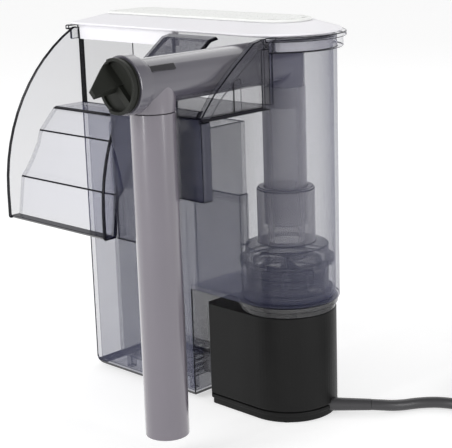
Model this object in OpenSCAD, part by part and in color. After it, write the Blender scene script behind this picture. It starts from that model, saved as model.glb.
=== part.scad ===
/* [Case] */
// Distance from the pump axis to the left wall of the case
case_left = 133.5; // [128:0.5:140]
// Depth of the case from front to back
case_depth = 56; // [55:0.5:57]
// Height of the case walls
case_height = 203; // [201:0.5:205]
// Wall thickness of the clear mouldings
wall = 2; // [1.6:0.2:2.2]
// Width of the slanted corners at the back left
back_chamfer = 14; // [8:1:20]
// Height of the floor under the pump well
pump_floor = 64; // [64:0.5:65]
/* [Spillway and hook] */
// Height of the spillway sill
sill_height = 161; // [159:0.5:162]
// Outer reach of the side guards in front of the pump axis
guard_reach = 83.5; // [82:0.5:84]
// Width of the hook that hangs in front of the tank glass
hook_width = 65; // [60:1:65]
/* [Tubes] */
// Height of the horizontal tube's axis
tube_height = 190.3; // [189:0.1:191]
// Distance from the pump axis forward to the intake tube
intake_reach = 91.3; // [90:0.1:93]
// Outer radius of the horizontal tube
tube_radius = 11.2; // [11.1:0.1:11.3]
// Height of the intake tube's open lower end
intake_bottom = 13.5; // [13.5:0.5:20]
// Travel of the intake tube along its spigot
intake_travel = 13; // [5:1:13]
/* [Pump] */
// Outer radius of the round end of the motor housing
motor_radius = 26; // [25.5:0.1:26.5]
// Distance from the pump axis to the flat end of the motor housing
motor_left = 38; // [37:0.5:40]
// Height of the motor housing's top
motor_top = 58; // [58:0.1:58.2]
// Number of impeller blades
blade_count = 6; // [4:1:8]
/* [Lead] */
// Diameter of the mains lead
lead_diameter = 6; // [5:0.5:6]
/* [Hidden] */
$fn = 96;
gap = 0.3;
clear_tint = [0.62, 0.66, 0.74, 0.35];
tube_tint = [0.50, 0.47, 0.50, 0.75];
dark_tint = [0.12, 0.12, 0.12];
case_radius = case_depth / 2;
inside_radius = case_radius - wall;
rim_bottom = 197;
rim_top = 205;
lid_top = 212;
chamber_right = -46;
chamber_edge = 6;
sill_front = 49;
slot_roof = 171.5;
guard_right_x = -52;
hook_right = hook_width + guard_right_x + wall;
plate_front = 76;
plate_bottom = 130.6;
notch_left = -14.5;
notch_right = hook_right - wall;
tube_bore = 9.6;
tee_radius = 11;
tee_bottom = 176;
spigot_bottom = tee_bottom - intake_travel;
intake_bore = 9.5;
socket_bore = 9.9;
valve_radius = tube_bore - 0.05;
knob_face = 109.8;
riser_radius = 11.4;
riser_bore = 9.8;
riser_top = 177;
riser_bottom = 104;
shaft_radius = 1.5;
magnet_bottom = 20;
magnet_top = 48;
blade_bottom = 66;
blade_top = 78;
neck_radius = 21;
neck_bore = 17;
base_top = 6.3;
well_bottom = 14;
exit_angle = 38;
exit_point = [25, 7.7, 4.6];
relief_length = 20;
relief_radius = 3.6;
lead_radius = lead_diameter / 2;
coil_centre = [100, 96.5, 0];
coil_inner = 21;
coil_outer = 45;
coil_height = 12;
lead_route = [
    [40.8, 20, 4.6], [45, 23.7, 4.3], [48.7, 28.3, 3.6], [52, 33.8, 3.1], [55.4, 39.5, 3.05],
    [59.2, 44.4, 3.05], [63.7, 48.5, 3.05], [69.2, 51.5, 3.05], [75.8, 53.5, 3.05], [83, 54.3, 3.05],
    [91.5, 54.5, 3.05], [100, 54.5, 3.05]
];
tail_route = [
    [124.7, 130.5, 9.05], [117, 136.5, 9], [109, 141.9, 8.4], [101, 145.8, 7.5], [93.5, 148.4, 6.8],
    [87, 149.6, 6.5], [82, 149.8, 6.5]
];
screw_places = [[-32, -20], [-32, 20], [13, -17], [13, 17]];
sill_profile = [
    [-case_radius, sill_height], [-sill_front + 2, sill_height], [-sill_front, sill_height - 0.8],
    [-56, 153], [-59.8, 149.2], [-61.8, 143], [-66.7, 134.7], [-70.8, 129], [-74.3, 125.4],
    [-76.6, 110.6], [-77.7, 104.5], [-guard_reach, 104.5]
];
hood_profile = [[-33, 204.5], [-38.5, 203.5], [-54, 192.3], [-67, 181.6], [-plate_front, slot_roof]];

// A profile of [y, z] points given a thickness by shifting it back and down, or forward and up.
function banded(points, shift) = concat(
    points,
    [for (i = [len(points) - 1 : -1 : 0]) points[i] + shift]
);

// Points of a half circle on the right, from front to back.
function half_round(r) = [for (a = [-90 : 4.5 : 90]) r * [cos(a), sin(a)]];

// Outline of the case: a round right end and a long body with slanted corners at the back left.
module plan(inset = 0) {
    r = case_radius - inset;
    left = -case_left + inset;
    slant = back_chamfer - 0.586 * inset;
    polygon(concat(
        half_round(r),
        [[left + slant, r], [left, r - slant], [left, 2 - r], [left + 2, -r]]
    ));
}

module plate_yz(points, from_x, to_x) {
    translate([from_x, 0, 0])
        rotate([90, 0, 90])
            linear_extrude(to_x - from_x) polygon(points);
}

module block(low, high) {
    translate(low) cube(high - low);
}

module ring(outer, inner, bottom, top) {
    translate([0, 0, bottom])
        difference() {
            cylinder(r = outer, h = top - bottom);
            translate([0, 0, -1]) cylinder(r = inner, h = top - bottom + 2);
        }
}

module chamber_plan(inset) {
    intersection() {
        plan(inset);
        translate([-200, -100]) square([200 + chamber_right - inset, 200]);
    }
}

module chamber_block(inset, top) {
    translate([0, 0, chamber_edge]) linear_extrude(top - chamber_edge) chamber_plan(inset);
    bend = chamber_edge - inset;
    hull()
        for (a = [0 : 22.5 : 90])
            translate([0, 0, chamber_edge - bend * sin(a)])
                linear_extrude(0.01) chamber_plan(chamber_edge - bend * cos(a));
}

module case() {
    inner_left = -case_left + wall;
    color(clear_tint)
        difference() {
            union() {
                translate([0, 0, pump_floor]) linear_extrude(case_height - pump_floor) plan();
                chamber_block(0, pump_floor + wall);
            }
            translate([0, 0, pump_floor + wall]) linear_extrude(case_height) plan(wall);
            chamber_block(wall, pump_floor + wall + 1);
            translate([0, 0, pump_floor - 1]) cylinder(r = neck_radius + 0.2, h = wall + 2);
            block(
                [inner_left, -case_radius - 1, sill_height],
                [guard_right_x, 1 - inside_radius, case_height + 1]
            );
            block(
                [guard_right_x - 0.01, -case_radius - 1, slot_roof],
                [notch_right, 5 - inside_radius, case_height + 1]
            );
        }
}

module case_rim() {
    color(clear_tint)
        difference() {
            union() {
                translate([0, 0, rim_bottom]) linear_extrude(5.5) plan(-3.3);
                translate([0, 0, rim_bottom + 5.5]) linear_extrude(rim_top - rim_bottom - 5.5) plan(-5);
            }
            translate([0, 0, rim_bottom - 1]) linear_extrude(case_height - rim_bottom + 1) plan();
            translate([0, 0, case_height - 0.01]) linear_extrude(10) plan(wall);
            block([-case_left - 0.01, -60, rim_bottom - 1], [hook_right, -case_radius, rim_top + 1]);
            block([-case_left + wall, -60, rim_bottom - 1], [hook_right, 5 - inside_radius, rim_top + 1]);
        }
}

module spillway() {
    color(clear_tint)
        difference() {
            plate_yz(banded(sill_profile, [wall, -wall]), -case_left + wall, guard_right_x);
            block([-200, -case_radius, 100], [0, 0, 200]);
        }
}

// A side guard: a fan-shaped plate between the stepped ramp and a round outer edge.
module guard(from_x) {
    arc_radius = 96.7;
    arc_centre = [arc_radius - guard_reach, 118];
    behind = [for (i = [len(sill_profile) - 1 : -1 : 1]) sill_profile[i] + [wall, -wall]];
    edge = [for (a = [62.8 : -5.233 : -0.01]) arc_centre + arc_radius * [-cos(a), sin(a)]];
    outline = concat(
        [[-case_radius - 0.01, 204]], edge, [[-guard_reach, 102.5]], behind,
        [[-case_radius - 0.01, sill_height - wall]]
    );
    color(clear_tint) plate_yz(outline, from_x, from_x + wall);
}

module guard_left() {
    guard(-case_left);
}

module guard_right() {
    guard(guard_right_x);
}

module hood() {
    color(clear_tint)
        difference() {
            plate_yz(banded(hood_profile, [1.6, -1.6]), guard_right_x + wall, notch_right);
            block([notch_left, -plate_front + 3, slot_roof + 3], [notch_right + 1, 0, 220]);
            block([-100, -100, slot_roof - 10], [100, 0, slot_roof]);
        }
}

module hook_end() {
    back = -case_radius - 0.01;
    front = wall - plate_front;
    under = slot_roof - wall;
    web = concat([[back, under], [back, 204.5]], hood_profile, [[front, slot_roof], [front, under]]);
    color(clear_tint) {
        plate_yz(web, notch_right, hook_right);
        difference() {
            plate_yz(banded(hood_profile, [3.6, -4.2]), hook_right - 0.01, hook_right + 1.5);
            block([0, -100, under - 10], [100, 0, under]);
        }
        block([hook_right - 0.01, front, under], [hook_right + 1.5, back, slot_roof]);
        block([hook_right - 0.01, -53, slot_roof], [hook_right + 1, -47.5, 187]);
        block([hook_right - 0.01, back - 5.5, slot_roof], [hook_right + 1.5, back, 200]);
    }
}

module hook_floor() {
    color(clear_tint)
        block(
            [guard_right_x + wall, wall - plate_front, slot_roof - wall],
            [notch_right, -case_radius, slot_roof]
        );
}

module hook_plate() {
    step_x = guard_right_x + wall + 28;
    low = 102.5;
    color(clear_tint) {
        block(
            [guard_right_x + wall, -plate_front, plate_bottom],
            [hook_right, wall - plate_front, slot_roof]
        );
        block([guard_right_x + wall, -plate_front, low], [step_x, wall - plate_front, plate_bottom + 1]);
        block(
            [hook_right - wall, -plate_front, plate_bottom],
            [hook_right + 1.5, 6 - plate_front, slot_roof - wall]
        );
    }
}

module lid_shape(drop, shrink) {
    hull() {
        translate([0, 0, rim_top + 0.2]) linear_extrude(1.2 - drop / 2) plan(shrink - 2.6);
        translate([0, 0, lid_top - 1.6 - drop]) linear_extrude(0.1) plan(11 + shrink);
    }
}

module lid() {
    skirt_inset = wall + 0.4;
    color("white")
        difference() {
            union() {
                difference() {
                    lid_shape(0, 0);
                    translate([0, 0, -0.3]) lid_shape(1.5, 2.6);
                }
                difference() {
                    translate([0, 0, rim_bottom]) linear_extrude(9) plan(skirt_inset);
                    translate([0, 0, rim_bottom - 1]) linear_extrude(12) plan(skirt_inset + 1.6);
                }
                block(
                    [-case_left + wall + 1.2, -case_radius, rim_bottom],
                    [guard_right_x - 0.5, -23.5, 206]
                );
            }
            block([-case_left - 9, -20, rim_bottom - 1], [-case_left + wall + 0.3, -60, 204]);
            block([guard_right_x - 0.4, -60, rim_bottom - 1], [20, -20, rim_top + 0.2]);
            block([-case_left + wall + 2.8, -26.4, rim_bottom - 1], [guard_right_x - 2.1, -20, rim_top]);
        }
}

module lid_panel() {
    color("white")
        translate([0, 0, lid_top - 1.5])
            difference() {
                linear_extrude(1.5) plan(12.5);
                translate([0, 0, 1]) linear_extrude(1) difference() {
                    plan(15);
                    plan(16);
                }
            }
}

module along_y(from_y, to_y, r) {
    translate([0, from_y, tube_height])
        rotate([-90, 0, 0]) cylinder(r = r, h = to_y - from_y);
}

module upright(r, bottom, top, forward = 0) {
    translate([0, -forward, bottom]) cylinder(r = r, h = top - bottom);
}

// The half of space above or below the slanted joint plane of the elbow.
module joint_half(side) {
    translate([0, 0, tube_height])
        rotate([-45, 0, 0])
            translate([-30, side > 0 ? 0 : -60, -60]) cube([60, 60, 120]);
}

module cross_tube() {
    bell = 14;
    color(tube_tint)
        difference() {
            union() {
                difference() {
                    along_y(-knob_face + gap, 20, tube_radius);
                    joint_half(1);
                }
                difference() {
                    upright(tube_radius, riser_top, tube_height + 20);
                    joint_half(-1);
                }
                along_y(-knob_face + gap, -103.5, bell);
                along_y(-103.5, -100.5, bell - 1.4);
                upright(riser_bore - 0.1, riser_top - 11, riser_top + 1);
                upright(tee_radius, tee_bottom, tube_height, intake_reach);
                upright(intake_bore - 0.1, spigot_bottom, tee_bottom + 1, intake_reach);
                tube_rib();
            }
            along_y(-knob_face - 1, 0, tube_bore);
            upright(tube_bore, riser_top, tube_height);
            translate([0, 0, tube_height]) sphere(r = tube_bore);
            upright(8.4, riser_top - 12, riser_top + 1);
            upright(8, spigot_bottom - 1, tube_height, intake_reach);
        }
}

module tube_rib() {
    translate([0, -intake_reach - 9.6, tube_height])
        rotate([0, 53, 0])
            translate([-1.6, 0, tube_radius - 1]) cube([3.2, 16, 2.2]);
}

module intake_tube() {
    top = tee_bottom - gap;
    color(tube_tint)
        translate([0, -intake_reach, intake_bottom])
            difference() {
                cylinder(r = tee_radius, h = top - intake_bottom);
                translate([0, 0, -1]) cylinder(r = intake_bore, h = top);
                translate([0, 0, -1]) cylinder(r = socket_bore, h = 13);
            }
}

// The knob: a grooved flange, a shallow cup and a pointed grip that leans to one side.
module flow_knob() {
    seal_groove = 8.2;
    flange_radius = 12.9;
    cup_radius = 13.2;
    cup_inside = 11.6;
    flange_front = -knob_face - 2.2;
    cup_front = flange_front - 1.9;
    cup_floor = -knob_face - 1;
    tip_front = -125.5;
    color(dark_tint) {
        difference() {
            union() {
                along_y(flange_front, -knob_face, flange_radius);
                along_y(-knob_face - 0.01, -98, valve_radius);
            }
            difference() {
                along_y(-knob_face - 1.4, -knob_face - 0.8, flange_radius + 1);
                along_y(-knob_face - 1.5, -knob_face - 0.7, flange_radius - 0.5);
            }
            difference() {
                along_y(-102.9, -100.9, valve_radius + 1);
                along_y(-103, -100.8, seal_groove);
            }
            along_y(cup_front, cup_floor, cup_inside);
        }
        difference() {
            along_y(cup_front, flange_front + 0.01, cup_radius);
            along_y(cup_front - 1, flange_front + 1, cup_inside);
            translate([0, cup_front - 1, tube_height])
                rotate([-90, 0, 0]) linear_extrude(2.6) polygon([[0, 0], [-9, -20], [-40, 0], [-9, 20]]);
        }
        translate([0, cup_front + 0.4, tube_height]) rotate([0, 44, 0])
            block([-cup_inside - 0.5, 0, -1.8], [cup_inside + 0.5, cup_floor - cup_front, 1.8]);
        hull() {
            translate([0, cup_floor, tube_height])
                rotate([0, 44, 0]) block([-cup_inside - 0.5, 0, -3.2], [1, 0.1, 2.6]);
            translate([0, cup_front, tube_height])
                rotate([0, 44, 0]) block([-cup_inside - 0.5, 0, -2.4], [0, 0.1, 2]);
            translate([-2.2, tip_front, tube_height - 2.2])
                rotate([0, 44, 0]) cube([4.4, 0.1, 2.2], center = true);
        }
    }
}

module knob_seal() {
    color("black")
        translate([0, -101.9, tube_height])
            rotate([90, 0, 0])
                rotate_extrude() translate([8.9, 0]) circle(r = 0.66, $fn = 24);
}

module valve_barrel() {
    color(tube_tint)
        difference() {
            along_y(-97.99, -80, valve_radius);
            along_y(-96, -79, 8);
            upright(7.6, tube_height - 14, tube_height, intake_reach);
        }
}

module riser_tube() {
    color(tube_tint) ring(riser_radius, riser_bore, riser_bottom, riser_top);
}

module riser_socket() {
    color(tube_tint)
        rotate_extrude()
            polygon([
                [9.8, 94.1], [15.4, 94.1], [15.4, 123], [14.4, 124], [riser_radius + 0.1, 124],
                [riser_radius + 0.1, riser_bottom], [9.8, riser_bottom]
            ]);
}

module impeller_cover() {
    floor_top = pump_floor + wall;
    color(tube_tint)
        difference() {
            rotate_extrude()
                polygon([
                    [21.2, floor_top], [24.5, floor_top], [24.5, 69], [22.3, 69], [22.3, 83], [25.6, 83],
                    [25.6, 85.5], [22.3, 85.5], [22.3, 92.6], [17, 94.1], [10, 94.1], [10, 88],
                    [18.5, 84], [18.5, 76], [21.2, 76]
                ]);
            block([-30, -5, 76.5], [-15, 5, 82]);
        }
}

module impeller() {
    hub = 4;
    color("gray")
        difference() {
            union() {
                upright(hub, magnet_top, blade_top);
                upright(12.5, blade_bottom - 1.4, blade_bottom);
                for (i = [0 : blade_count - 1])
                    rotate([0, 0, i * 360 / blade_count])
                        block([hub - 1, -0.8, blade_bottom - 0.01], [14.5, 0.8, blade_top - 1]);
            }
            upright(shaft_radius + 0.06, magnet_top - 1, blade_top + 1);
        }
}

module rotor_magnet() {
    color(dark_tint) ring(8.2, shaft_radius + 0.06, magnet_bottom, magnet_top);
}

module rotor_shaft() {
    color("white") upright(shaft_radius, well_bottom, 84.5);
}

module bush_top() {
    arm_bottom = 81.2;
    color(tube_tint)
        difference() {
            union() {
                upright(3.6, 79, 86);
                for (i = [0 : 2])
                    rotate([0, 0, 90 + i * 120])
                        block([2, -0.9, arm_bottom], [18.5, 0.9, 83.8]);
            }
            upright(shaft_radius, 78, 84.5);
        }
}

module bush_bottom() {
    color(dark_tint) ring(8.9, shaft_radius, well_bottom, magnet_bottom - 0.5);
}

module pump_seal() {
    color("black")
        translate([0, 0, 63.06])
            rotate_extrude() translate([23.5, 0]) circle(r = 0.9, $fn = 24);
}

module pump_collar() {
    flange_top = pump_floor - 0.1;
    color(clear_tint)
        rotate_extrude()
            polygon([
                [neck_bore, motor_top], [25.6, motor_top], [25.6, 61], [27, 61], [27, flange_top],
                [24.5, flange_top], [24.5, 62], [22.5, 62], [22.5, flange_top], [neck_radius, flange_top],
                [neck_radius, 72], [neck_bore, 72]
            ]);
}

// Outline of the motor: round on the right and square with cut corners on the left.
module motor_plan(inset = 0) {
    r = motor_radius - inset;
    left = -motor_left + inset;
    polygon(concat(
        half_round(r),
        [[left + 3, r], [left, r - 3], [left, 3 - r], [left + 3, -r]]
    ));
}

module exit_hole(r) {
    translate(exit_point)
        rotate([0, 90, exit_angle])
            translate([0, 0, -8]) cylinder(r = r, h = 40);
}

module motor_housing() {
    shell = 2.6;
    color(dark_tint)
        difference() {
            translate([0, 0, base_top]) linear_extrude(motor_top - base_top) motor_plan();
            difference() {
                translate([0, 0, base_top - 1])
                    linear_extrude(motor_top - shell - base_top + 1) motor_plan(shell);
                upright(10.6, well_bottom - 2, motor_top);
                for (p = screw_places)
                    translate([p[0], p[1], 0]) cylinder(r = 3, h = motor_top);
            }
            upright(9, well_bottom, motor_top + 1);
            for (p = screw_places)
                translate([p[0], p[1], 0]) cylinder(r = 1.3, h = 18);
            exit_hole(relief_radius + 0.05);
        }
}

// The base cover: a foot, a flush band and a narrower neck that leaves a seam under the housing.
module motor_base() {
    foot_top = 3.4;
    neck_bottom = base_top - 0.7;
    color(dark_tint)
        difference() {
            union() {
                linear_extrude(foot_top + 0.01) motor_plan(0.7);
                translate([0, 0, foot_top]) linear_extrude(neck_bottom - foot_top) motor_plan();
                linear_extrude(base_top) motor_plan(1.2);
            }
            for (p = screw_places)
                translate([p[0], p[1], -1]) {
                    cylinder(r = 1.6, h = 20);
                    cylinder(r = 3.2, h = 3.4);
                }
            exit_hole(relief_radius + 0.05);
        }
}

module base_screw(i) {
    color("silver")
        translate([screw_places[i][0], screw_places[i][1], 0]) {
            difference() {
                translate([0, 0, 0.8]) cylinder(r = 2.9, h = 1.6);
                block([-0.5, -2, 0], [0.5, 2, 1.5]);
                block([-2, -0.5, 0], [2, 0.5, 1.5]);
            }
            translate([0, 0, 2.39]) cylinder(r = 1.3, h = 13);
        }
}

module motor_core() {
    color("silver")
        difference() {
            block([-33, -16.5, 22], [9.5, 16.5, 40]);
            upright(10.9, 0, 60);
            block([-27, -11, 0], [-10, 11, 60]);
        }
}

module motor_coil() {
    color("orange")
        difference() {
            block([-35, -9.5, 15], [-24.5, 9.5, 47]);
            block([-33, -20, 22], [-27, 20, 40]);
        }
}

module motor_clip() {
    color(clear_tint)
        difference() {
            block([chamber_right, -21, 15], [-motor_left, -9, 27]);
            block([chamber_right - 1, -18.5, 14], [-motor_left + 1, -11.5, 22]);
            translate([chamber_right - 1, -15, 22]) rotate([0, 90, 0]) cylinder(r = 3.5, h = 20);
        }
}

module media_basket() {
    skin = 1.6;
    low = [-114, -24, 10];
    high = [-52, 24, 150];
    color(clear_tint) {
        difference() {
            block(low, high);
            block(low + [skin, skin, skin], high + [-skin, -skin, 1]);
            for (i = [0 : 7])
                block([low[0] + 6 + i * 6.6, -18, low[2] - 1], [low[0] + 9.4 + i * 6.6, 18, low[2] + 2]);
        }
        for (x = [-112, -58], y = [-21, 17])
            block([x, y, wall], [x + 4, y + 4, low[2] + 0.01]);
    }
}

module basket_grip() {
    color(clear_tint)
        difference() {
            block([-85, -22.4, 144], [-81, 22.4, 156]);
            block([-90, -12, 142], [-80, 12, 151]);
        }
}

module baffle() {
    front = 0.2 - inside_radius;
    color(clear_tint) {
        block([-44, front, pump_floor + wall], [-9, front + 1.4, 122]);
        block([-10.4, front, 94.5], [-9, front + 6.5, 122]);
    }
}

module strain_relief() {
    color(dark_tint)
        translate(exit_point)
            rotate([0, 90, exit_angle]) {
                translate([0, 0, -5]) cylinder(r = relief_radius, h = 5.01);
                cylinder(r1 = relief_radius, r2 = lead_radius + 0.1, h = relief_length);
            }
}

function unit(v) = v / norm(v);
function heading(route, i) = unit(route[min(i + 1, len(route) - 1)] - route[max(i - 1, 0)]);
function rim_point(route, i, turn) =
    let (t = heading(route, i), side = unit(cross(t, [0, 0, 1])), up = cross(side, t))
    route[i] + lead_radius * (cos(turn) * side + sin(turn) * up);

// A round tube swept along a list of points.
module tube_along(route, sides = 10) {
    rings = len(route);
    points = [for (i = [0 : rings - 1], s = [0 : sides - 1]) rim_point(route, i, s * 360 / sides)];
    skin = [
        for (i = [0 : rings - 2], s = [0 : sides - 1])
            let (a = i * sides + s, b = i * sides + (s + 1) % sides)
            [a, a + sides, b + sides, b]
    ];
    ends = [
        [for (s = [0 : sides - 1]) s],
        [for (s = [sides - 1 : -1 : 0]) (rings - 1) * sides + s]
    ];
    polyhedron(points, concat(skin, ends), convexity = 6);
}

module lead_run() {
    color(dark_tint) tube_along(lead_route);
}

module lead_tail() {
    color(dark_tint) tube_along(tail_route);
}

module lead_coil() {
    bevel = 2;
    color(dark_tint)
        translate(coil_centre)
            rotate_extrude()
                polygon([
                    [coil_inner, bevel], [coil_inner + bevel, 0], [coil_outer - bevel, 0],
                    [coil_outer, bevel], [coil_outer, coil_height - bevel],
                    [coil_outer - bevel, coil_height], [coil_inner + bevel, coil_height],
                    [coil_inner, coil_height - bevel]
                ]);
}

// A flat tie round the section of the coil.
module coil_tie() {
    thick = 0.8;
    slack = 0.4;
    low = [coil_inner - thick - slack, -3, 0.05];
    high = [coil_outer + thick + slack, 3, coil_height + thick + slack];
    color("black")
        translate(coil_centre)
            difference() {
                block(low, high);
                block([coil_inner - slack, -4, -1], [coil_outer + slack, 4, coil_height + slack]);
            }
}

module plug_body() {
    start = tail_route[len(tail_route) - 1];
    color(dark_tint)
        translate(start) {
            rotate([0, -90, 0]) cylinder(r1 = 3.4, r2 = 4.6, h = 12.01);
            hull()
                for (y = [-6.5, 6.5], end = [[-16, 6.4], [-12, 5]])
                    translate([end[0], y, 0])
                        rotate([0, 90, 0]) cylinder(r = end[1], h = 0.1, $fn = 32);
            hull()
                for (y = [-6.6, 6.6], x = [-42, -15.9])
                    translate([x, y, 0]) rotate([0, 90, 0]) cylinder(r = 6.4, h = 0.1, $fn = 32);
        }
}

module plug_pin(side) {
    start = tail_route[len(tail_route) - 1];
    color("silver")
        translate(start + [-42, side * 9.3, 0])
            rotate([0, -90, 0]) {
                cylinder(r = 2, h = 17.5);
                translate([0, 0, 17.49]) cylinder(r1 = 2, r2 = 1.2, h = 1.5);
            }
}

case();
case_rim();
spillway();
guard_left();
guard_right();
hood();
hook_end();
hook_floor();
hook_plate();
lid();
lid_panel();
cross_tube();
intake_tube();
flow_knob();
knob_seal();
valve_barrel();
riser_tube();
riser_socket();
impeller_cover();
impeller();
rotor_magnet();
rotor_shaft();
bush_top();
bush_bottom();
pump_seal();
pump_collar();
motor_housing();
motor_base();
motor_core();
motor_coil();
base_screw(0);  // base_screw_1
base_screw(1);  // base_screw_2
base_screw(2);  // base_screw_3
base_screw(3);  // base_screw_4
motor_clip();
media_basket();
basket_grip();
baffle();
strain_relief();
lead_run();
lead_coil();
lead_tail();
coil_tie();
plug_body();
plug_pin(-1);  // plug_pin_1
plug_pin(1);  // plug_pin_2
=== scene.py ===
"""Hang-on waterfall aquarium filter: camera, studio, mains lead and the finishes of every part."""

import math

import bpy
from mathutils import Matrix, Vector


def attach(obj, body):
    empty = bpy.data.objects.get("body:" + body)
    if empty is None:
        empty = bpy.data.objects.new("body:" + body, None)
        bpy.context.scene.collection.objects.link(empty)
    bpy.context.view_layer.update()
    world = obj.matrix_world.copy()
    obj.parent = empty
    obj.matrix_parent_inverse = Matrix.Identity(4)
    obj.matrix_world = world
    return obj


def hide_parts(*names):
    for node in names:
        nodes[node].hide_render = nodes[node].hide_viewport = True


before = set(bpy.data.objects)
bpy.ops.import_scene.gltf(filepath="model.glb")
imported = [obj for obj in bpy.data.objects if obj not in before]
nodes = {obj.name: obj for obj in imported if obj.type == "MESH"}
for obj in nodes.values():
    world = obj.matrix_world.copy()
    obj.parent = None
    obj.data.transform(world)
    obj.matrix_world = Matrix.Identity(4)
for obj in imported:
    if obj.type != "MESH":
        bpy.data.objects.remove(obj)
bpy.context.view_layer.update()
MM = 0.001
OWN = -1  # a bevel's material setting that keeps each corner's own material
EDGE = 1  # the slot of a node's dark material, painted shade: dark edges and corners of clear plastic and the tube bar's shadow band
MILKY = 2  # the slot of the horizontal tube's milky material

# Places on the part that its finishes go by, in metres.
FAN_CENTRE = Vector((0.0132, 0.118))  # across X
FAN_ARC_INSIDE = 0.093
FAN_FOOT_TOP = 0.1035
SILL_BOTTOM = 0.159
SILL_FRONT = (-0.0495, -0.0465)
LIP_TOP = 0.1046
LIP_BACK = -0.0775
HOOK_FLOOR_TOP = 0.172
HOOK_FLOOR_END = 0.011
HOOK_PLATE_STEP = 0.1306
WALL_FRONT_BOTTOM = 0.16
WALL_FRONT_BACK = -0.02
WALL_END_BACK = -0.024
WALL_END = -0.1305
CASE_BEND_TOP = 0.006
BASKET_RIM_BOTTOM = 0.14
TUBE_HEIGHT = 0.1903
TUBE_BAR = (-0.0995, -0.084)
TUBE_BAR_INSIDE = 0.0118
TUBE_BAR_SIDE = 0.005
STUB_REACH = 0.0913
STUB_TOP = 0.1865
STUB_RADIUS = (0.0104, 0.0113)

# Shares of a unit vector along an axis.
FACING = 0.9  # from here on it points straight along the axis
TOWARDS = 0.5  # from here on it is turned towards the axis
LEANING = 0.3  # from here on it leans towards the axis

# ---------------------------------------------------------------- camera


def add_camera():
    """A long lens at the front right, a little above the lid."""
    place = Vector((452.68, -495.49, 273.3)) * MM
    focal_length = 103.54
    azimuth = math.radians(45.16)
    elevation = math.radians(14.18)
    roll = math.radians(-1.9)
    back = Vector(
        (
            math.sin(azimuth) * math.cos(elevation),
            -math.cos(azimuth) * math.cos(elevation),
            math.sin(elevation),
        )
    )
    level = Vector((math.cos(azimuth), math.sin(azimuth), 0))
    upright = back.cross(level)
    right = math.cos(roll) * level + math.sin(roll) * upright
    up = -math.sin(roll) * level + math.cos(roll) * upright
    data = bpy.data.cameras.new("camera")
    data.lens = focal_length
    data.sensor_width = 36
    camera = bpy.data.objects.new("camera", data)
    turn = Matrix((right, up, back)).transposed().to_4x4()
    camera.matrix_world = Matrix.Translation(place) @ turn
    bpy.context.scene.collection.objects.link(camera)
    bpy.context.scene.camera = camera


# ---------------------------------------------------------------- mains lead

LEAD_DIAMETER = 6 * MM
LEAD_RADIUS = LEAD_DIAMETER / 2
COIL_CENTRE = Vector((100, 96.5, 0)) * MM
COIL_LOWER = 3.05  # height of the lead's centre line in the coil's lower layer, in mm
COIL_UPPER = 9.05

# The route's points in mm, from the strain relief to the coil and from the coil to the plug.
LEAD_ROUTE = [
    (40.8, 20, 4.6),
    (45, 23.7, 4.3),
    (48.7, 28.3, 3.6),
    (52, 33.8, 3.1),
    (55.4, 39.5, COIL_LOWER),
    (59.2, 44.4, COIL_LOWER),
    (63.7, 48.5, COIL_LOWER),
    (69.2, 51.5, COIL_LOWER),
    (75.8, 53.5, COIL_LOWER),
    (83, 54.3, COIL_LOWER),
    (91.5, 54.5, COIL_LOWER),
    (100, 54.5, COIL_LOWER),
]
TAIL_ROUTE = [
    (124.7, 130.5, COIL_UPPER),
    (117, 136.5, 9),
    (109, 141.9, 8.4),
    (101, 145.8, 7.5),
    (93.5, 148.4, 6.8),
    (87, 149.6, 6.5),
    (82, 149.8, 6.5),
]


def ease(t):
    """0 to 1 with a level start and end."""
    t = min(max(t, 0), 1)
    return t * t * (3 - 2 * t)


def coil_points():
    """Three turns inwards on the surface, a climb, and three turns outwards on top of them."""
    steps_per_turn = 24
    widest = 42
    tightest = 24
    turns_in = 3
    climb = 0.4
    turns_out = 3
    pitch = (widest - tightest) / turns_in
    total = turns_in + climb + turns_out
    points = []
    for i in range(1, round(total * steps_per_turn)):
        turn = i / steps_per_turn
        inward = widest - pitch * min(turn, turns_in)
        radius = inward + pitch * max(turn - turns_in - climb, 0)
        height = COIL_LOWER + (COIL_UPPER - COIL_LOWER) * ease((turn - turns_in) / climb)
        angle = math.radians(-90) + 2 * math.pi * turn
        points.append(
            COIL_CENTRE
            + Vector((radius * math.cos(angle), radius * math.sin(angle), height)) * MM
        )
    return points


def lead_points():
    """The lead's points from the strain relief, through the coil, to the plug."""
    run = [Vector(p) * MM for p in LEAD_ROUTE]
    tail = [Vector(p) * MM for p in TAIL_ROUTE]
    return run + coil_points() + tail


def smooth_path(points, per_gap=4):
    """Points along a smooth curve through the given ones."""
    path = []
    last = len(points) - 1
    for i in range(last):
        p0 = points[max(i - 1, 0)]
        p1 = points[i]
        p2 = points[i + 1]
        p3 = points[min(i + 2, last)]
        for k in range(per_gap):
            t = k / per_gap
            path.append(
                0.5
                * (
                    2 * p1
                    + (p2 - p0) * t
                    + (2 * p0 - 5 * p1 + 4 * p2 - p3) * t * t
                    + (3 * p1 - p0 - 3 * p2 + p3) * t**3
                )
            )
    path.append(points[last])
    return path


def curve_piece(name, path, radius):
    """A round rod along a path."""
    data = bpy.data.curves.new(name, "CURVE")
    data.dimensions = "3D"
    data.bevel_depth = radius
    data.bevel_resolution = 6
    data.use_fill_caps = True
    spline = data.splines.new("POLY")
    spline.points.add(len(path) - 1)
    for point, place in zip(spline.points, path):
        point.co = (*place, 1)
    spline.use_smooth = True
    piece = bpy.data.objects.new(name, data)
    bpy.context.scene.collection.objects.link(piece)
    return piece


def add_lead():
    """The mains lead as one smooth cord, in place of its CAD solids."""
    path = smooth_path(lead_points())
    lead = curve_piece("mains_lead", path, LEAD_RADIUS)
    lead.data.materials.append(lead_sheath())
    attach(lead, "filter")
    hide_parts("lead_run", "lead_coil", "lead_tail")


# ---------------------------------------------------------------- materials


def shader_of(material):
    return material.node_tree.nodes["Principled BSDF"]


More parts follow.
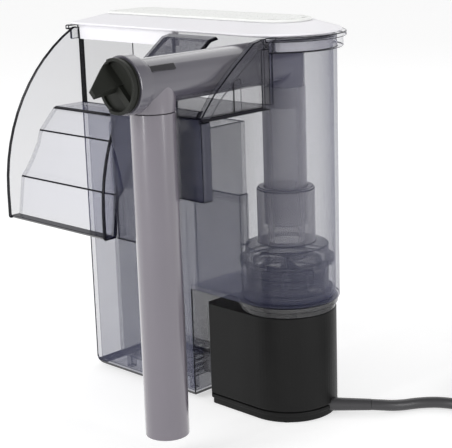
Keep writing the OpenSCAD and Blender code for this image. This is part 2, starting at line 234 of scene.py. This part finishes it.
def new_material(name):
    material = bpy.data.materials.new(name)
    material.use_nodes = True
    return material, material.node_tree, shader_of(material)


def add_noise(tree, scale, detail=3):
    """A noise pattern fixed to the part, so that it rides with it."""
    place = tree.nodes.new("ShaderNodeTexCoord")
    noise = tree.nodes.new("ShaderNodeTexNoise")
    noise.inputs["Scale"].default_value = scale
    noise.inputs["Detail"].default_value = detail
    tree.links.new(place.outputs["Object"], noise.inputs["Vector"])
    return noise.outputs["Fac"]


def remap(tree, source, start, end, low, high):
    """A value's run from start to end, stretched to run from low to high."""
    node = tree.nodes.new("ShaderNodeMapRange")
    node.inputs["From Min"].default_value = start
    node.inputs["From Max"].default_value = end
    node.inputs["To Min"].default_value = low
    node.inputs["To Max"].default_value = high
    tree.links.new(source, node.inputs["Value"])
    return node.outputs["Result"]


def spread(tree, noise, low, high):
    """A noise value, which mostly lies from 0.3 to 0.7, stretched to run from low to high."""
    return remap(tree, noise, 0.3, 0.7, low, high)


def drift_roughness(tree, shader, noise, low, high):
    """Roughness that drifts with a noise."""
    tree.links.new(spread(tree, noise, low, high), shader.inputs["Roughness"])


def math_node(tree, operation, first, second):
    """Two numbers or node outputs put through one operation."""
    node = tree.nodes.new("ShaderNodeMath")
    node.operation = operation
    for socket, value in zip(node.inputs, (first, second)):
        if isinstance(value, (int, float)):
            socket.default_value = value
        else:
            tree.links.new(value, socket)
    return node.outputs["Value"]


def add_bump(tree, shader, source, strength, distance):
    bump = tree.nodes.new("ShaderNodeBump")
    bump.inputs["Strength"].default_value = strength
    bump.inputs["Distance"].default_value = distance
    tree.links.new(source, bump.inputs["Height"])
    tree.links.new(bump.outputs["Normal"], shader.inputs["Normal"])


def add_shades(tree, shader, dark, light, scale):
    """Base colour that drifts between two close shades."""
    mix = tree.nodes.new("ShaderNodeMix")
    mix.data_type = "RGBA"
    mix.inputs["A"].default_value = (*dark, 1)
    mix.inputs["B"].default_value = (*light, 1)
    tree.links.new(add_noise(tree, scale), mix.inputs["Factor"])
    tree.links.new(mix.outputs["Result"], shader.inputs["Base Color"])


def moulded(name, dark, light, roughness, grain=900, bump=0.15, gloss=0.5):
    """Opaque moulded plastic with a fine spark-eroded texture."""
    shade_scale = 45
    drift = 0.06
    grain_depth = 0.0001
    material, tree, shader = new_material(name)
    shader.inputs["Specular IOR Level"].default_value = gloss
    add_shades(tree, shader, dark, light, shade_scale)
    fine = add_noise(tree, grain, 2)
    drift_roughness(tree, shader, fine, roughness - drift, roughness + drift)
    add_bump(tree, shader, fine, bump, grain_depth)
    return material


def upward(tree, coordinates):
    """The Z value of object or generated coordinates."""
    place = tree.nodes.new("ShaderNodeTexCoord")
    split = tree.nodes.new("ShaderNodeSeparateXYZ")
    tree.links.new(place.outputs[coordinates], split.inputs["Vector"])
    return split.outputs["Z"]


def height_above(tree, height):
    """1 above a height in the part's own frame and 0 below it."""
    return math_node(tree, "GREATER_THAN", upward(tree, "Object"), height)


def tinted_clear(name, dark, light, density, roughness, wave=0.02, above=None):
    """Tinted see-through plastic, denser where the eye looks along the wall than square on.

    above is a height and the greater density that starts there.
    """
    shade_scale, haze_scale, wave_scale = 25, 70, 35
    wave_depth = 0.001
    most_slanted = 0.12
    material, tree, shader = new_material(name)
    add_shades(tree, shader, dark, light, shade_scale)
    shader.inputs["IOR"].default_value = 1.5
    haze = add_noise(tree, haze_scale)
    drift_roughness(tree, shader, haze, roughness - 0.02, roughness + 0.03)
    add_bump(tree, shader, add_noise(tree, wave_scale, 1), wave, wave_depth)
    shader.inputs["Alpha"].default_value = density
    layer = tree.nodes.new("ShaderNodeLayerWeight")
    layer.inputs["Blend"].default_value = 0.5
    square = math_node(tree, "SUBTRACT", 1, layer.outputs["Facing"])
    path = math_node(tree, "DIVIDE", 1, math_node(tree, "MAXIMUM", square, most_slanted))
    clearness = 1 - density
    if above:
        height, upper_density = above
        extra = math_node(
            tree, "MULTIPLY", height_above(tree, height), upper_density - density
        )
        clearness = math_node(tree, "SUBTRACT", clearness, extra)
    through = math_node(tree, "POWER", clearness, path)
    tree.links.new(math_node(tree, "SUBTRACT", 1, through), shader.inputs["Alpha"])
    return material


def metal(name, colour, roughness):
    """Bare metal with slightly uneven polish."""
    shade_scale, polish_scale = 120, 600
    material, tree, shader = new_material(name)
    add_shades(tree, shader, [c * 0.9 for c in colour], colour, shade_scale)
    shader.inputs["Metallic"].default_value = 1
    polish = add_noise(tree, polish_scale)
    drift_roughness(tree, shader, polish, roughness - 0.05, roughness + 0.08)
    return material


def lead_sheath():
    """Soft black PVC of the mains lead and its plug."""
    dark, light = (0.026, 0.025, 0.028), (0.036, 0.035, 0.038)
    return moulded("lead_sheath", dark, light, 0.36, grain=1500, bump=0.1, gloss=0.6)


def paint(names, *materials):
    """Gives nodes their materials; the first one covers them."""
    for name in names:
        mesh = nodes[name].data
        mesh.materials.clear()
        for material in materials:
            mesh.materials.append(material)


def use_slot(slot, name, wanted):
    """Gives another of a node's materials to the faces wanted by their normal and centre."""
    for face in nodes[name].data.polygons:
        if wanted(face.normal, face.center):
            face.material_index = slot


def paint_shade(name, is_edge):
    """Gives the slot's dark material, painted shade, to the wanted faces, mostly where the eye
    looks into the wall's edge.
    """
    use_slot(EDGE, name, is_edge)


def lies_between(value, limits):
    return limits[0] < value < limits[1]


def square_to(axis):
    """Edges of a sheet that lies square to an axis."""
    return lambda normal, centre: abs(normal[axis]) < TOWARDS


def on_fan_arc(place):
    """Whether a place is on the round outer edge of a side guard or on its foot."""
    return (place.yz - FAN_CENTRE).length > FAN_ARC_INSIDE or place.z < FAN_FOOT_TOP


def fan_edge(normal, centre):
    """The edge of a side guard, apart from the side that joins the case."""
    return abs(normal.x) < TOWARDS and on_fan_arc(centre)


def spillway_edge(normal, centre):
    """The ramp's end against the right guard, the front of the sill and the lip at the foot."""
    right_end = normal.x > TOWARDS
    at_sill_front = lies_between(centre.y, SILL_FRONT) and centre.z > SILL_BOTTOM
    at_lip = centre.y < LIP_BACK and centre.z < LIP_TOP
    sill_front = at_sill_front and normal.z > TOWARDS
    lip = at_lip and abs(normal.x) < TOWARDS
    return right_end or sill_front or lip


def hook_edge(normal, centre):
    """The right end of the hook's floor, where it lies on the tank's rim."""
    at_right_end = centre.z < HOOK_FLOOR_TOP and centre.x > HOOK_FLOOR_END
    return at_right_end and abs(normal.y) < TOWARDS


def case_edge(normal, centre):
    """The cut front edges of the case's wall, its top edge and the bend round its floors."""
    shallowest = 0.25
    high = centre.z > WALL_FRONT_BOTTOM
    front_left = high and centre.y < WALL_FRONT_BACK and centre.x < 0
    far_left = high and centre.y < WALL_END_BACK and centre.x < WALL_END
    cut = front_left and (abs(normal.x) > FACING or normal.z > FACING)
    edge_on = far_left and normal.y < -LEANING
    bend = centre.z < CASE_BEND_TOP and -FACING < normal.z < -shallowest
    return cut or edge_on or bend


def basket_edge(normal, centre):
    """The top edge of the media basket."""
    return normal.z > FACING and centre.z > BASKET_RIM_BOTTOM


def add_clear_finishes():
    """Smoke-tinted clear plastic, with dark lines of painted shade on its cut edges and bends,
    standing in for the darkness that light bent inside the plastic gives them.
    """
    # The near-black edge material is painted shade: the dark look that light bent inside the
    # plastic gives its edges and bends.
    edge = tinted_clear("clear_edge_painted_shade", (0.003, 0.003, 0.006), (0.005, 0.005, 0.009), 0.96, 0.12)
    sheet = tinted_clear("clear_sheet", (0.065, 0.07, 0.16), (0.085, 0.09, 0.19), 0.125, 0.07)
    wall = tinted_clear("clear_wall", (0.065, 0.071, 0.14), (0.085, 0.091, 0.165), 0.155, 0.07)
    grey = tinted_clear("clear_grey", (0.05, 0.05, 0.055), (0.065, 0.065, 0.07), 0.165, 0.09)
    rim = tinted_clear("clear_rim", (0.34, 0.34, 0.42), (0.38, 0.38, 0.46), 0.06, 0.07)
    hook = tinted_clear("clear_hook", (0.03, 0.03, 0.055), (0.04, 0.04, 0.07), 0.3, 0.1)
    web = tinted_clear("clear_web", (0.05, 0.05, 0.07), (0.07, 0.07, 0.09), 0.18, 0.1)
    plate = tinted_clear(
        "clear_plate",
        (0.02, 0.022, 0.045),
        (0.03, 0.032, 0.06),
        0.2,
        0.1,
        above=(HOOK_PLATE_STEP, 0.47),
    )
    frosted = tinted_clear("clear_frosted", (0.07, 0.07, 0.08), (0.10, 0.10, 0.11), 0.3, 0.2)
    # The collar's light grey is partly painted highlight, standing in for the glints on its ring,
    # and partly the plastic's own smoky tint.
    collar = tinted_clear("clear_collar", (0.16, 0.16, 0.165), (0.21, 0.21, 0.215), 0.26, 0.08)
    shader_of(edge).inputs["Specular IOR Level"].default_value = 0.12
    paint(["case"], wall, edge)
    paint(["media_basket", "baffle"], grey, edge)
    paint(["case_rim"], rim, edge)
    paint(["spillway", "guard_left", "guard_right"], sheet, edge)
    paint(["hood", "hook_floor"], hook, edge)
    paint(["hook_end"], web, edge)
    paint(["hook_plate"], plate, edge)
    paint(["motor_clip", "basket_grip", "impeller_cover", "bush_top"], frosted, edge)
    paint(["pump_collar"], collar, edge)
    # The faces picked below get the near-black edge material: painted shade.
    paint_shade("guard_left", fan_edge)
    paint_shade("guard_right", square_to(0))
    paint_shade("spillway", spillway_edge)
    paint_shade("hood", lambda normal, centre: normal.x > TOWARDS)
    paint_shade("hook_plate", lambda normal, centre: normal.z < -TOWARDS)
    paint_shade("hook_end", hook_edge)
    paint_shade("case", case_edge)
    paint_shade("media_basket", basket_edge)


def rib_face(normal, centre):
    """The raised bar on the side of the horizontal tube, just behind the knob."""
    across_tube = Vector((centre.x, centre.z - TUBE_HEIGHT))
    stands_out = across_tube.length > TUBE_BAR_INSIDE
    return lies_between(centre.y, TUBE_BAR) and stands_out and centre.x > TUBE_BAR_SIDE


def tee_face(normal, centre):
    """The short upright stub under the horizontal tube, which the intake tube pushes onto."""
    across_stub = Vector((centre.x, centre.y + STUB_REACH))
    on_outside = lies_between(across_stub.length, STUB_RADIUS)
    return on_outside and centre.z < STUB_TOP and abs(normal.z) < LEANING


def add_tube_finishes():
    """Milky grey tubes. The horizontal tube takes a darker copy of the milky plastic, painted
    shade, and shows a dark bar of painted shadow.
    """
    milky = tinted_clear(
        "tube_milky", (0.125, 0.112, 0.135), (0.145, 0.13, 0.155), 0.97, 0.2, wave=0.005
    )
    # A darker copy of the milky plastic: painted shade for the shade under the lid and for the
    # dark inside that shows through the horizontal tube.
    shaded_milky = tinted_clear(
        "tube_milky_shaded", (0.075, 0.07, 0.09), (0.095, 0.09, 0.11), 0.9, 0.2, wave=0.01
    )
    smoke = tinted_clear("tube_smoke", (0.32, 0.31, 0.325), (0.36, 0.35, 0.365), 0.42, 0.25)
    # The near-black tube material is painted shade: a shadow band on the horizontal tube's bar,
    # and dark lines on the riser socket's corners.
    edge = tinted_clear("tube_painted_shade", (0.015, 0.014, 0.018), (0.022, 0.021, 0.026), 0.9, 0.25)
    for material in (milky, shaded_milky):
        shader = shader_of(material)
        shader.inputs["Coat Weight"].default_value = 1
        shader.inputs["Coat Roughness"].default_value = 0.2
    paint(["intake_tube"], milky)
    paint(["cross_tube", "valve_barrel"], shaded_milky, edge, milky)
    paint(["riser_tube", "riser_socket"], smoke, edge)
    # The bar's faces get the near-black material: a painted shadow band.
    paint_shade("cross_tube", rib_face)
    use_slot(MILKY, "cross_tube", tee_face)


def add_solid_finishes():
    """Opaque plastics, rubber and metals."""
    paint(["lid"], moulded("lid_white", (0.78, 0.77, 0.80), (0.82, 0.81, 0.84), 0.4))
    paint(["lid_panel"], moulded("panel_white", (0.78, 0.79, 0.77), (0.82, 0.83, 0.81), 0.32))
    knob = moulded("knob_black", (0.012, 0.013, 0.011), (0.018, 0.019, 0.016), 0.4, gloss=0.16)
    paint(["flow_knob"], knob)
    black = moulded(
        "motor_black",
        (0.006, 0.006, 0.006),
        (0.009, 0.009, 0.009),
        0.42,
        grain=1100,
        bump=0.25,
        gloss=0.15,
    )
    paint(["motor_housing", "motor_base"], black)
    rubber = moulded("seal_rubber", (0.010, 0.010, 0.010), (0.018, 0.018, 0.018), 0.65)
    paint(["knob_seal", "pump_seal", "bush_bottom", "coil_tie"], rubber)
    paint(["strain_relief", "plug_body"], lead_sheath())
    paint(["impeller"], moulded("rotor_grey", (0.10, 0.105, 0.11), (0.14, 0.145, 0.15), 0.45))
    paint(["rotor_magnet"], moulded("ferrite", (0.02, 0.02, 0.022), (0.035, 0.035, 0.037), 0.5))
    ceramic = moulded("ceramic", (0.72, 0.72, 0.69), (0.78, 0.78, 0.75), 0.15, bump=0.02)
    paint(["rotor_shaft"], ceramic)
    screws = ["base_screw_1", "base_screw_2", "base_screw_3", "base_screw_4"]
    paint(["motor_core", *screws], metal("steel", (0.55, 0.55, 0.57), 0.35))
    paint(["motor_coil"], metal("copper", (0.72, 0.36, 0.16), 0.3))
    paint(["plug_pin_1", "plug_pin_2"], metal("pin_brass", (0.75, 0.68, 0.48), 0.25))


# ---------------------------------------------------------------- softened corners


def along_ramp(first, second):
    """Whether an edge runs across the spillway from side to side."""
    run = second - first
    return abs(run.x) > FACING * run.length


def along_fan(first, second):
    """Whether an edge lies on the round outer edge of a side guard or on its foot."""
    return on_fan_arc((first + second) / 2)


def mark_corners(mesh, sharpest, wanted):
    """Gives a bevel weight to the wanted corners that stick out and turn enough."""
    steps_per_mm = 50

    def place(vertex):
        return tuple(round(c / MM * steps_per_mm) for c in mesh.vertices[vertex].co)

    def is_wanted(edge):
        first, second = (mesh.vertices[vertex].co for vertex in edge.vertices)
        return wanted is None or wanted(first, second)

    faces_at = {}
    for face in mesh.polygons:
        for ends in face.edge_keys:
            faces_at.setdefault(frozenset(map(place, ends)), []).append(face)
    corners = set()
    for ends, faces in faces_at.items():
        if len(faces) == 2:
            first, second = faces
            turn = first.normal.angle(second.normal, 0)
            sticks_out = (second.center - first.center).dot(first.normal) < 0
            if sticks_out and turn > math.radians(sharpest):
                corners.add(ends)
    weight = mesh.attributes.new("bevel_weight_edge", "FLOAT", "EDGE")
    for edge in mesh.edges:
        if frozenset(map(place, edge.vertices)) in corners and is_wanted(edge):
            weight.data[edge.index].value = 1


def soften(names, width, material=OWN, sharpest=32, wanted=None):
    """Rounds the outer corners of parts by a few tenths of a mm, inside their own outlines."""
    for name in names:
        piece = nodes[name]
        mark_corners(piece.data, sharpest, wanted)
        weld = piece.modifiers.new("weld", "WELD")
        weld.merge_threshold = 0.02 * MM
        bevel = piece.modifiers.new("bevel", "BEVEL")
        bevel.width = width * MM
        bevel.segments = 2
        bevel.limit_method = "WEIGHT"
        bevel.use_clamp_overlap = False
        bevel.material = material
        shading = piece.modifiers.new("shading", "WEIGHTED_NORMAL")
        shading.keep_sharp = True


def soften_parts():
    """Clear parts get dark lines of painted shade along their corners, standing in for the
    darkness that light bent inside thick tinted plastic gives them.
    """
    soften(["motor_housing", "motor_base"], 0.5)
    soften(["lid", "lid_panel"], 0.6)
    soften(["flow_knob", "plug_body"], 0.3)
    soften(["spillway"], 0.5, EDGE, sharpest=23, wanted=along_ramp)
    soften(["guard_right"], 0.95, EDGE)
    soften(["guard_left"], 0.8, EDGE, wanted=along_fan)
    soften(["hood"], 0.6, EDGE)
    soften(["hook_plate", "hook_end", "case", "case_rim"], 0.5, EDGE)
    soften(["media_basket", "baffle", "basket_grip", "motor_clip"], 0.35, EDGE)
    soften(["impeller_cover", "pump_collar", "riser_socket"], 0.35, EDGE)
    soften(["cross_tube", "intake_tube"], 0.4)


# ---------------------------------------------------------------- studio


def add_floor():
    """A white floor just under the part, bright enough to fade into the room."""
    size = 8
    height = -0.0002
    bpy.ops.mesh.primitive_plane_add(size=size, location=(0, 0, height))
    floor = bpy.context.object
    floor.name = "floor"
    material, _, shader = new_material("floor_white")
    shader.inputs["Base Color"].default_value = (0.6, 0.6, 0.6, 1)
    shader.inputs["Roughness"].default_value = 0.9
    shader.inputs["Specular IOR Level"].default_value = 0.1
    shader.inputs["Emission Color"].default_value = (1, 1, 1, 1)
    shader.inputs["Emission Strength"].default_value = 0.55
    floor.data.materials.append(material)


def add_light(name, place, target, size, power):
    """A rectangular soft light aimed at a target."""
    data = bpy.data.lights.new(name, "AREA")
    data.shape = "RECTANGLE"
    data.size, data.size_y = size
    data.energy = power
    light = bpy.data.objects.new(name, data)
    light.location = place
    aim = Vector(target) - Vector(place)
    light.rotation_euler = aim.to_track_quat("-Z", "Y").to_euler()
    bpy.context.scene.collection.objects.link(light)


def add_world():
    """A soft white room: brightest at the level of the horizon and dimmer overhead."""
    world = bpy.data.worlds.new("studio")
    world.use_nodes = True
    tree = world.node_tree
    background = tree.nodes["Background"]
    fade = remap(tree, upward(tree, "Generated"), 0.25, 0.75, 1.0, 0.5)
    tree.links.new(fade, background.inputs["Strength"])
    background.inputs["Color"].default_value = (1, 1, 1, 1)
    bpy.context.scene.world = world


def add_studio():
    """Plain soft light from the front, the back and both sides, in a white room."""
    scene = bpy.context.scene
    scene.view_settings.view_transform = "Standard"
    scene.cycles.transparent_max_bounces = 48
    add_world()
    add_floor()
    add_light("key", (-0.45, -1.0, 1.0), (-0.03, 0, 0.12), (0.5, 0.5), 5)
    add_light("top", (-0.3, 0.85, 0.95), (-0.03, 0, 0.17), (0.9, 0.8), 2.2)
    add_light("strip_left", (-0.05, -1.3, 0.35), (0, -0.09, 0.12), (0.1, 0.9), 4.5)
    add_light("strip_right", (1.3, 0.05, 0.35), (0, 0, 0.1), (0.1, 0.9), 4.5)


add_camera()
add_lead()
add_studio()
add_clear_finishes()
add_tube_finishes()
add_solid_finishes()
soften_parts()
